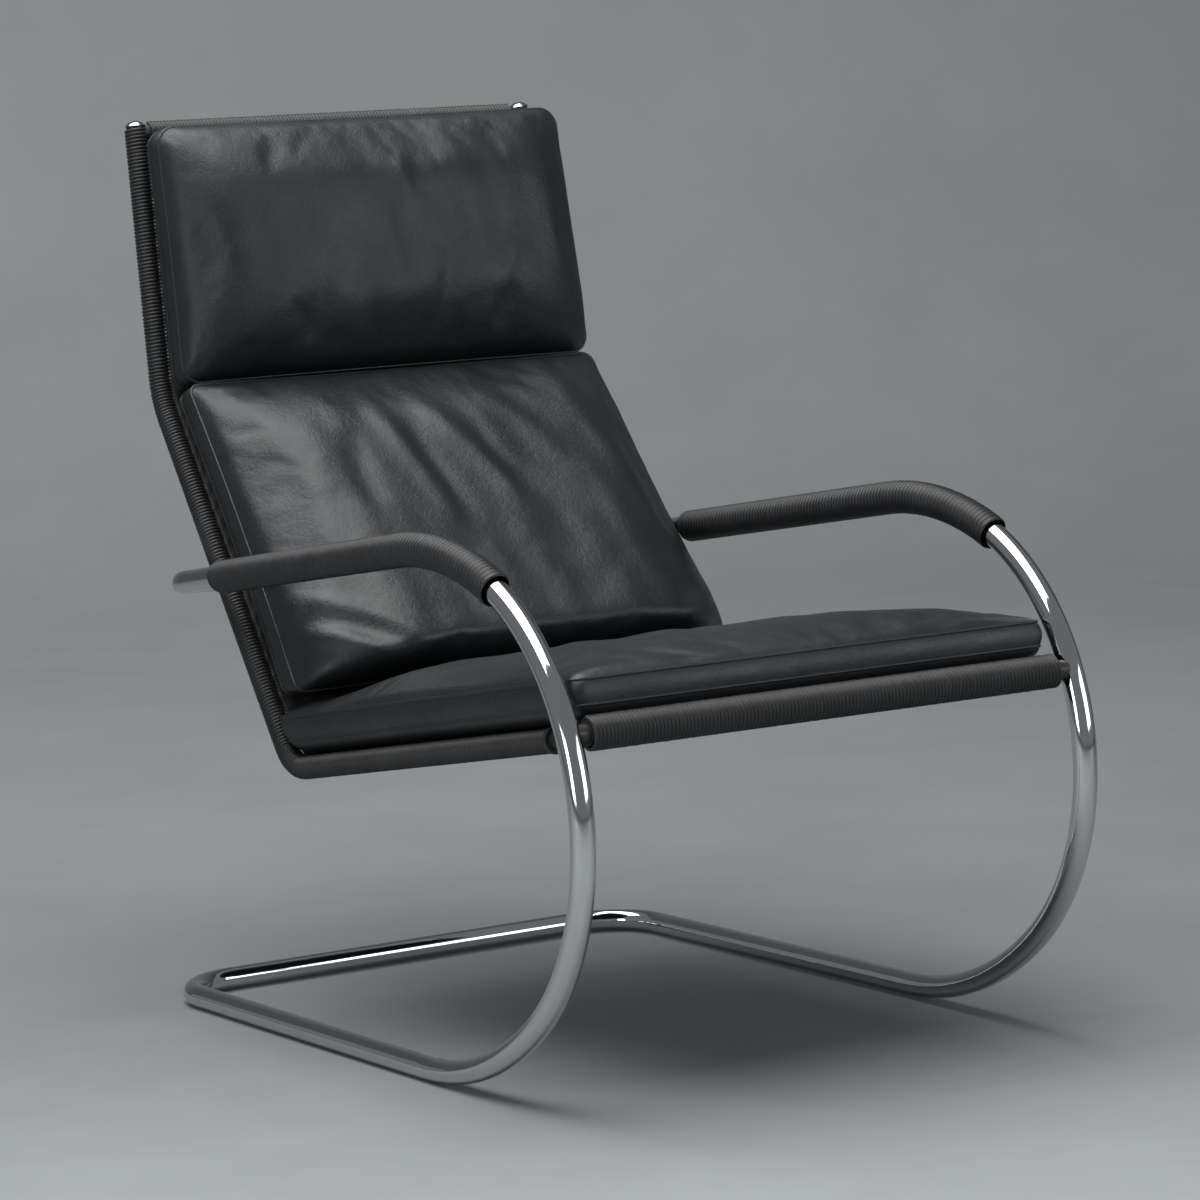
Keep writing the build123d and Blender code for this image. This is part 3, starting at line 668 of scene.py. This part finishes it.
class Cushion:
    """A boxed leather cushion: a crowned front, a band between two welted seams and a flat back.

    Its places are (across, along, height): across the chair, along the rails from their corner,
    and square to the rails.
    """

    def __init__(self, name, origin, normal, ends, folds, seed, halves, seams, crowns, reach,
                 free, corner, draw_in, ledge=(0.0, 0.0)):
        self.name = name
        self.origin = origin
        self.normal = normal
        self.along = normal.cross(Vector((1, 0, 0)))
        self.ends = ends                # low and high end at a height
        self.halves = halves            # half widths at the low and the high end
        self.seams = seams              # heights of the lower and the upper seam
        self.crowns = crowns            # height of the front towards each end
        self.reach = reach              # how far in the front rises: low end, high end, sides
        self.folds = folds
        self.free = free                # whether each end stands free and may bulge
        self.ledge = ledge              # pressed down at the high end: length, share of the rise
        self.corner = corner
        self.draw_in = draw_in          # how far the sides and the ends curve in
        self.seed = seed

    def world(self, across, along, height):
        return self.origin + Vector((across, 0, 0)) + self.along * along + self.normal * height

    def spans(self, q, height):
        """Low end, high end and half width at a share of the length."""
        low, high = self.ends(height)
        share = (q + 1) / 2
        return low, high, self.halves[0] * (1 - share) + self.halves[1] * share

    def outline(self, p, q, height, inset=0.0, bulge=0.0):
        """A place of the rounded, drawn-in outline: p and q run from -1 to 1."""
        low, high, half_width = self.spans(q, height)
        low += inset - bulge * self.free[0]
        high -= inset - bulge * self.free[1]
        half_width -= inset - bulge
        half_length = (high - low) / 2
        corner = max(self.corner - inset / 2, self.corner / 2)
        x, y = rounded_corner(p * half_width, q * half_length, half_width, half_length, corner)
        x -= copysign(self.draw_in[0] * (1 - (y / half_length) ** 2) * abs(p) ** DRAW_IN_POWER, x)
        y -= copysign(self.draw_in[1] * (1 - (x / half_width) ** 2) * abs(q) ** DRAW_IN_POWER, y)
        return x, (low + high) / 2 + y, height

    def front(self, p, q):
        """A place of the crowned front, before its folds."""
        upper = self.seams[1]
        x, y, _ = self.outline(p, q, upper)
        low, high, half_width = self.spans(q, upper)
        share = (q + 1) / 2
        full = swell((1 - abs(p)) * half_width / self.reach[2])
        full *= swell(share * (high - low) / self.reach[0])
        full *= self.high_end((1 - share) * (high - low))
        crown = self.crowns[0] * (1 - share) + self.crowns[1] * share
        edge = self.edge(p, q)
        lip = SEAM_LIP * (1 - exp(-edge / SEAM_LIP_WIDTH * 3))
        height = upper + (crown - upper - SEAM_LIP) * full + lip
        lean = self.ends(height)
        y += (lean[0] - low) * (1 - share) + (lean[1] - high) * share
        return x, y, height

    def high_end(self, distance):
        """The rise towards the high end, where the seat is pressed down by the back cushion."""
        length, pressed = self.ledge
        if length == 0:
            return swell(distance / self.reach[1])
        over = max(0.0, distance - length) / self.reach[1]
        rear = pressed * swell(distance / LEDGE_EDGE)
        return rear + (1 - pressed) * (1 - max(0.0, 1 - over) ** 2)

    def edge(self, p, q):
        """How far a place of the front is from the nearest seam."""
        low, high, half_width = self.spans(q, self.seams[1])
        return min((1 - abs(p)) * half_width, (1 - abs(q)) * (high - low) / 2)

    def creases(self, p, q, x, y):
        """Soft folds, gathers along the seams and unevenness of the leather."""
        edge = self.edge(p, q)
        here = Vector((x, y, self.seed))
        total = sum(height * noise.noise(here * waves) for height, waves in UNEVENNESS)
        across, slanted, along = STREAK_WAVES
        streak = Vector((x * across + y * slanted, y * along, self.seed + STREAK_SEED))
        total += STREAK * noise.noise(streak)
        near = exp(-edge / GATHER_REACH)
        total += GATHER[0] * near * noise.noise(here * GATHER[1])
        for fold in self.folds:
            total += fold.height_at(x, y)
        return total * min(1.0, edge / CREASE_EDGE)

    def band(self, p, q, part):
        """A place of the band: part runs from the upper seam to the lower one."""
        lower, upper = self.seams
        height = upper + (lower - upper) * part
        x, y, height = self.outline(p, q, height, 0.0, BAND_BULGE * sin(pi * part))
        tall, waves = BAND_RIPPLE
        ripple = tall * sin(pi * part) * noise.noise(Vector((x * waves, y * waves, self.seed)))
        return x + copysign(ripple, x), y, height

    def roll(self, p, q, part):
        """A place of the round under the lower seam, down to the flat back."""
        lower = self.seams[0]
        inset = ROLL_WIDTH * (1 - cos(part * pi / 2))
        return self.outline(p, q, lower - (lower - CUSHION_FLOOR) * sin(part * pi / 2), inset)

    def back(self, p, q):
        return self.outline(p, q, CUSHION_FLOOR, ROLL_WIDTH)

    def counts(self):
        """Cells across and along."""
        low, high = self.ends(self.seams[1])
        return 2 * round(self.halves[0] / CELL), round((high - low) / CELL)

    def border(self):
        """The outline's (p, q) in order round the cushion."""
        columns, rows = self.counts()
        return ([(2 * i / columns - 1, -1) for i in range(columns)]
                + [(1, 2 * j / rows - 1) for j in range(rows)]
                + [(1 - 2 * i / columns, 1) for i in range(columns)]
                + [(-1, 1 - 2 * j / rows) for j in range(rows)])

    def skin(self):
        """The closed mesh: the front's grid, rings for the band and the roll, the back's grid."""
        columns, rows = self.counts()
        vertices = []
        faces = []

        def add(place):
            vertices.append(self.world(*place))
            return len(vertices) - 1

        def grid(shape, flip):
            made = [[add(shape(2 * i / columns - 1, 2 * j / rows - 1)) for i in range(columns + 1)]
                    for j in range(rows + 1)]
            for j in range(rows):
                for i in range(columns):
                    face = (made[j][i], made[j][i + 1], made[j + 1][i + 1], made[j + 1][i])
                    faces.append(face[::-1] if flip else face)
            return (made[0][:-1] + [row[-1] for row in made[:-1]]
                    + made[-1][:0:-1] + [row[0] for row in made[:0:-1]])

        rings = [grid(self.front, False)]
        for row in range(1, BAND_ROWS + 1):
            rings.append([add(self.band(p, q, row / BAND_ROWS)) for p, q in self.border()])
        for row in range(1, ROLL_ROWS):
            rings.append([add(self.roll(p, q, row / ROLL_ROWS)) for p, q in self.border()])
        rings.append(grid(self.back, True))
        for above, below in zip(rings, rings[1:]):
            for index, corner in enumerate(above):
                after = (index + 1) % len(above)
                faces.append((corner, below[index], below[after], above[after]))
        return vertices, faces

    def stuffed(self, piece):
        """Blows the front up a little as cloth, held at its seams and back."""
        mesh = piece.data
        columns, rows = self.counts()
        before = [vertex.co.copy() for vertex in mesh.vertices]
        held = piece.vertex_groups.new(name="held")
        for index in range(len(before)):
            j, i = divmod(index, columns + 1)
            inner = min(i, columns - i, j, rows - j) if j <= rows else 0
            held.add([index], 1.0 if inner < HELD_CELLS else 0.0, "REPLACE")
        cloth = piece.modifiers.new("cloth", "CLOTH")
        settings = cloth.settings
        for name, value in CLOTH_SETTINGS.items():
            setattr(settings, name, value)
        settings.vertex_group_mass = "held"
        settings.effector_weights.gravity = 0.0
        cloth.collision_settings.use_collision = False
        cloth.point_cache.frame_start = 1
        cloth.point_cache.frame_end = CLOTH_FRAMES
        scene = bpy.context.scene
        for number in range(1, CLOTH_FRAMES + 1):
            scene.frame_set(number)
        blown = piece.evaluated_get(bpy.context.evaluated_depsgraph_get()).to_mesh()
        after = [vertex.co.copy() for vertex in blown.vertices]
        piece.modifiers.remove(cloth)
        scene.frame_set(1)
        for vertex, old, new in zip(mesh.vertices, before, after):
            move = new - old
            vertex.co = old + move.normalized() * CLOTH_CAP * tanh(move.length / CLOTH_CAP)

    def crease(self, piece):
        """Adds the folds to the front."""
        columns, rows = self.counts()
        vertices = piece.data.vertices
        for j in range(rows + 1):
            for i in range(columns + 1):
                p, q = 2 * i / columns - 1, 2 * j / rows - 1
                x, y, _ = self.front(p, q)
                vertices[j * (columns + 1) + i].co += self.normal * self.creases(p, q, x, y)
        piece.data.update()

    def welt(self, height, material):
        """The thin piping sewn into a seam, as a closed tube."""
        centres = [self.world(*self.outline(p, q, height, WELT_SINK)) for p, q in self.border()]
        count = len(centres)
        vertices = []
        for index, centre in enumerate(centres):
            along = (centres[(index + 1) % count] - centres[index - 1]).normalized()
            first = (self.normal - along * self.normal.dot(along)).normalized()
            second = along.cross(first)
            for side in range(WELT_SIDES):
                angle = 2 * pi * side / WELT_SIDES
                vertices.append(centre + (first * cos(angle) + second * sin(angle)) * WELT_RADIUS)
        faces = []
        for index in range(count):
            after = (index + 1) % count
            for side in range(WELT_SIDES):
                beside = (side + 1) % WELT_SIDES
                faces.append((index * WELT_SIDES + side, index * WELT_SIDES + beside,
                              after * WELT_SIDES + beside, after * WELT_SIDES + side))
        made = add_mesh(f"{self.name}_welt_{round(height * 1000)}", vertices, faces, material)
        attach(made, "root")

    def make(self, leather):
        """The finished cushion with its two welts."""
        vertices, faces = self.skin()
        piece = add_mesh(f"{self.name}_cushion", vertices, faces, leather)
        self.stuffed(piece)
        self.crease(piece)
        smooth = piece.modifiers.new("smooth", "SUBSURF")
        smooth.levels = smooth.render_levels = 1
        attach(piece, "root")
        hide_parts(f"{self.name}_cushion_cover", f"{self.name}_cushion_core")
        for height in self.seams:
            self.welt(height, leather)


def seat_cushion():
    """The seat: its rear end leans against the back rails, its front overhangs the front bar."""
    def ends(height):
        front = SEAT_FRONT_OVERHANG - SEAT_RAIL[0]
        return front, height / tan(rail_bend) - (CUSHION_FLOOR + END_GAP) / sin(rail_bend)

    folds = [Fold(0.0030, 0.010, (-0.20, -0.53), (-0.17, -0.47), (-0.15, -0.38)),
             Fold(-0.0028, 0.009, (-0.16, -0.55), (-0.13, -0.49), (-0.12, -0.42)),
             Fold(0.0026, 0.010, (-0.11, -0.56), (-0.09, -0.50), (-0.085, -0.42)),
             Fold(-0.0020, 0.010, (-0.06, -0.56), (-0.05, -0.48)),
             Fold(0.0020, 0.012, (0.05, -0.55), (0.06, -0.47), (0.05, -0.40)),
             Fold(0.0022, 0.012, (0.17, -0.56), (0.15, -0.48), (0.16, -0.40)),
             Fold(-0.0030, 0.022, (-0.10, -0.30), (0.00, -0.24), (0.10, -0.27))]
    normal = heading(SEAT_RAIL[1] + 90)
    return Cushion("seat", rail_low, normal, ends, folds, seed=1.7, halves=(0.279, 0.276),
                   seams=(0.030, 0.055), crowns=(0.085, 0.086), reach=(0.170, 0.110, 0.150),
                   free=(1, 0), corner=0.014, draw_in=(0.003, 0.003), ledge=(0.085, 0.5))


def back_cushion():
    """The back: its foot stands on the seat cushion, its top meets the head cushion."""
    def ends(height):
        low = BACK_REST_HEIGHT / sin(rail_bend) - height * BACK_FOOT_SLANT
        return low, BACK_RAIL_LENGTH - MITRE_DROP - height * lumbar_mitre - END_GAP

    folds = [Fold(0.0050, 0.015, (-0.092, 0.400), (-0.075, 0.319), (-0.055, 0.251), (-0.050, 0.190)),
             Fold(0.0042, 0.014, (-0.035, 0.380), (0.001, 0.311), (0.029, 0.259), (0.048, 0.205)),
             Fold(0.0042, 0.016, (0.050, 0.385), (0.089, 0.328), (0.120, 0.265)),
             Fold(-0.0042, 0.016, (-0.127, 0.345), (-0.132, 0.285), (-0.137, 0.230)),
             Fold(-0.0036, 0.014, (-0.056, 0.345), (-0.040, 0.255), (-0.022, 0.190)),
             Fold(-0.0036, 0.014, (0.014, 0.365), (0.036, 0.290), (0.062, 0.225)),
             Fold(0.0032, 0.018, (-0.180, 0.390), (-0.175, 0.320), (-0.190, 0.250)),
             Fold(0.0030, 0.020, (0.150, 0.370), (0.175, 0.300), (0.185, 0.220)),
             Fold(0.0056, 0.011, (-0.268, 0.118), (-0.224, 0.074), (-0.165, 0.010)),
             Fold(0.0044, 0.009, (-0.262, 0.066), (-0.236, 0.034), (-0.215, 0.008)),
             Fold(0.0040, 0.011, (-0.268, 0.160), (-0.215, 0.118), (-0.150, 0.062)),
             Fold(-0.0046, 0.010, (-0.255, 0.090), (-0.205, 0.045), (-0.185, 0.015)),
             Fold(-0.0036, 0.010, (-0.262, 0.135), (-0.215, 0.098), (-0.160, 0.050)),
             Fold(0.0034, 0.012, (0.262, 0.120), (0.215, 0.080), (0.170, 0.030)),
             Fold(-0.0030, 0.012, (0.262, 0.085), (0.225, 0.045))]
    normal = heading(back_lean)
    return Cushion("back", rail_low + BACK_ASIDE, normal, ends, folds, seed=5.2,
                   halves=(0.271, 0.260), seams=(0.032, 0.057), crowns=(0.148, 0.108),
                   reach=(0.040, 0.110, 0.130), free=(0, 0), corner=0.014,
                   draw_in=(0.004, 0.002))


def head_cushion():
    """The head rest, up to just under the wound top bar."""
    def ends(height):
        return height * lumbar_mitre + END_GAP - MITRE_DROP, HEAD_RAIL[0] + HEAD_TOP_RISE

    folds = [Fold(0.0034, 0.011, (-0.056, 0.087), (-0.061, 0.020)),
             Fold(-0.0034, 0.013, (-0.095, 0.117), (-0.110, 0.080), (-0.122, 0.036)),
             Fold(-0.0030, 0.012, (0.067, 0.136), (0.050, 0.085), (0.032, 0.032)),
             Fold(0.0030, 0.012, (0.112, 0.076), (0.092, 0.028)),
             Fold(0.0032, 0.013, (0.146, 0.145), (0.133, 0.110), (0.120, 0.076)),
             Fold(0.0026, 0.009, (0.016, 0.247), (0.013, 0.196)),
             Fold(0.0024, 0.009, (0.052, 0.245), (0.053, 0.200)),
             Fold(0.0022, 0.009, (0.071, 0.250), (0.067, 0.199)),
             Fold(-0.0026, 0.016, (-0.02, 0.20), (-0.01, 0.13), (0.00, 0.06))]
    normal = heading(HEAD_RAIL[1])
    return Cushion("head", rail_lumbar + HEAD_ASIDE, normal, ends, folds, seed=9.4,
                   halves=(0.262, 0.257), seams=(0.026, 0.050), crowns=(0.108, 0.102),
                   reach=(0.085, 0.100, 0.120), free=(0, 0.3), corner=0.022,
                   draw_in=(0.002, 0.001))


# ---- Studio ----

def stage():
    """A mottled grey floor that curves up into a backdrop behind the chair, with light and shade
    painted into its grey by depth.
    """
    shader = Shader("studio_grey")
    split = shader.node("ShaderNodeSeparateXYZ")
    shader.link(shader.place, split.inputs["Vector"])
    mottle = shader.noise(2.6, detail=6.0, roughness=0.62)
    mottle = shader.span(mottle, 0.93, 1.07, from_low=0.3, from_high=0.7)
    shader.set(Roughness=0.85, Specular_IOR_Level=0.15)
    # Painted light and shade: the floor's grey gets lighter towards the camera and darkest about the
    # chair
    colour = shader.ramp(shader.span(split.outputs["Y"], 0.0, 1.0, *FLOOR_DEPTHS), *FLOOR_GREY_AND_PAINTED_LIGHT)
    material = shader.finish(shader.shaded(colour, mottle))
    backdrop_glow(shader, split)
    bend = BACKDROP_BEND
    back = FLOOR_DEPTHS[1]
    profile = [(-FLOOR_REACH, 0.0), (back - bend, 0.0)]
    for step in range(1, BEND_STEPS + 1):
        angle = step * pi / (2 * BEND_STEPS)
        profile.append((back - bend + bend * sin(angle), bend - bend * cos(angle)))
    profile.append((back, BACKDROP_HEIGHT))
    vertices = [Vector((x, y, z)) for y, z in profile for x in (-FLOOR_REACH, FLOOR_REACH)]
    faces = [(2 * i, 2 * i + 1, 2 * i + 3, 2 * i + 2) for i in range(len(profile) - 1)]
    made = add_mesh("studio_floor", vertices, faces, material)
    made.rotation_euler = (0, 0, STUDIO_TURN)


def backdrop_glow(shader, split):
    """What the camera and the chrome see of the backdrop, beyond the light that falls on it."""
    depth = shader.ramp(shader.span(split.outputs["Y"], 0.0, 1.0, *FLOOR_DEPTHS), *GLOW_BY_DEPTH)
    side = shader.span(split.outputs["X"], *GLOW_SIDES, -GLOW_HALF_WIDTH, GLOW_HALF_WIDTH)
    ray = shader.node("ShaderNodeLightPath")
    mirrored = shader.math("MULTIPLY", ray.outputs["Is Glossy Ray"], GLOW_IN_CHROME)
    seen = shader.math("MAXIMUM", ray.outputs["Is Camera Ray"], mirrored)
    strength = shader.math("MULTIPLY", shader.math("MULTIPLY", depth, side), seen)
    shader.set(Emission_Color=GLOW_COLOUR)
    shader.link(strength, shader.surface.inputs["Emission Strength"])


def softbox(name, place, aim, width, height, power):
    """A soft rectangular lamp aimed at a point."""
    data = bpy.data.lights.new(name, "AREA")
    data.shape = "RECTANGLE"
    data.size = width
    data.size_y = height
    data.energy = power
    lamp = bpy.data.objects.new(name, data)
    way = Vector(aim) - Vector(place)
    lamp.matrix_world = (Matrix.Translation(place)
                         @ way.to_track_quat("-Z", "Y").to_matrix().to_4x4())
    bpy.context.scene.collection.objects.link(lamp)


def studio():
    """Even grey surroundings, a backdrop and three soft lamps."""
    world = bpy.data.worlds.new("studio")
    world.use_nodes = True
    background = world.node_tree.nodes["Background"]
    background.inputs["Color"].default_value = WORLD_COLOUR
    background.inputs["Strength"].default_value = WORLD_LIGHT
    bpy.context.scene.world = world
    stage()
    for name, place, aim, width, height, power in LAMPS:
        softbox(name, place, aim, width, height, power)


# ---- Assembly ----

# The nodes that stay as they are; the pieces below stand for all the others
CAD_FINISHES = (
    (chrome, ("frame_tube_right", "frame_tube_left", "rail_top_caps")),
    (dull_steel, ("floor_bar_spigot", "crossbar_spigot", "rear_bolts", "rear_thread_inserts",
                  "front_bar_plugs", "front_studs", "front_thread_inserts")),
    (black_paint, ("side_rail_right", "side_rail_left", "top_bar", "front_bar",
                   "rail_winding_collars", "rear_spacers", "front_spacers")),
)


def dress_cad():
    """Materials on the nodes that come over from the CAD model."""
    for finish, names in CAD_FINISHES:
        material = finish()
        for name in names:
            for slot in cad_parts[name].material_slots:
                slot.material = material


def side_windings(label, side, leather):
    """The cord on one arm and on one rail."""
    across = Vector((1, 0, 0))
    winding(f"arm_cord_{label}", f"arm_winding_{label}", arm_line(side), across, TUBE_RADIUS,
            ARM_CORD, side, leather)
    winding(f"rail_cord_{label}", f"rail_winding_{label}", rail_line(side), across, RAIL_RADIUS,
            RAIL_CORD, side * 3.0, leather)


def bar_windings(leather):
    """The cord on the top bar and on the front bar."""
    up = Vector((0, 0, 1))
    low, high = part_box("top_bar_winding")
    line = [Vector((low[0], top_bar.y, top_bar.z)), Vector((high[0], top_bar.y, top_bar.z))]
    winding("top_bar_cord", "top_bar_winding", line, up, RAIL_RADIUS, TOP_BAR_CORD, 7.0, leather)
    low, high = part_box("front_bar_winding")
    reach = Vector((high[0] + FRONT_CORD_OVERRUN, 0, 0))
    line = [front_bar - reach, front_bar + reach]
    winding("front_bar_cord", "front_bar_winding", line, up, TUBE_RADIUS, FRONT_BAR_CORD, 11.0,
            leather, clear_of_rails)


def main():
    """Dresses the CAD model and adds the windings, the woven support and the cushions."""
    dress_cad()
    cord = cord_leather()
    for label, side in (("right", 1), ("left", -1)):
        side_windings(label, side, cord)
    bar_windings(cord)
    woven_support(woven_web())
    leather = cushion_leather()
    for cushion in (seat_cushion(), back_cushion(), head_cushion()):
        cushion.make(leather)


make_camera()
studio()
main()
bpy.context.scene.view_settings.view_transform = "Standard"
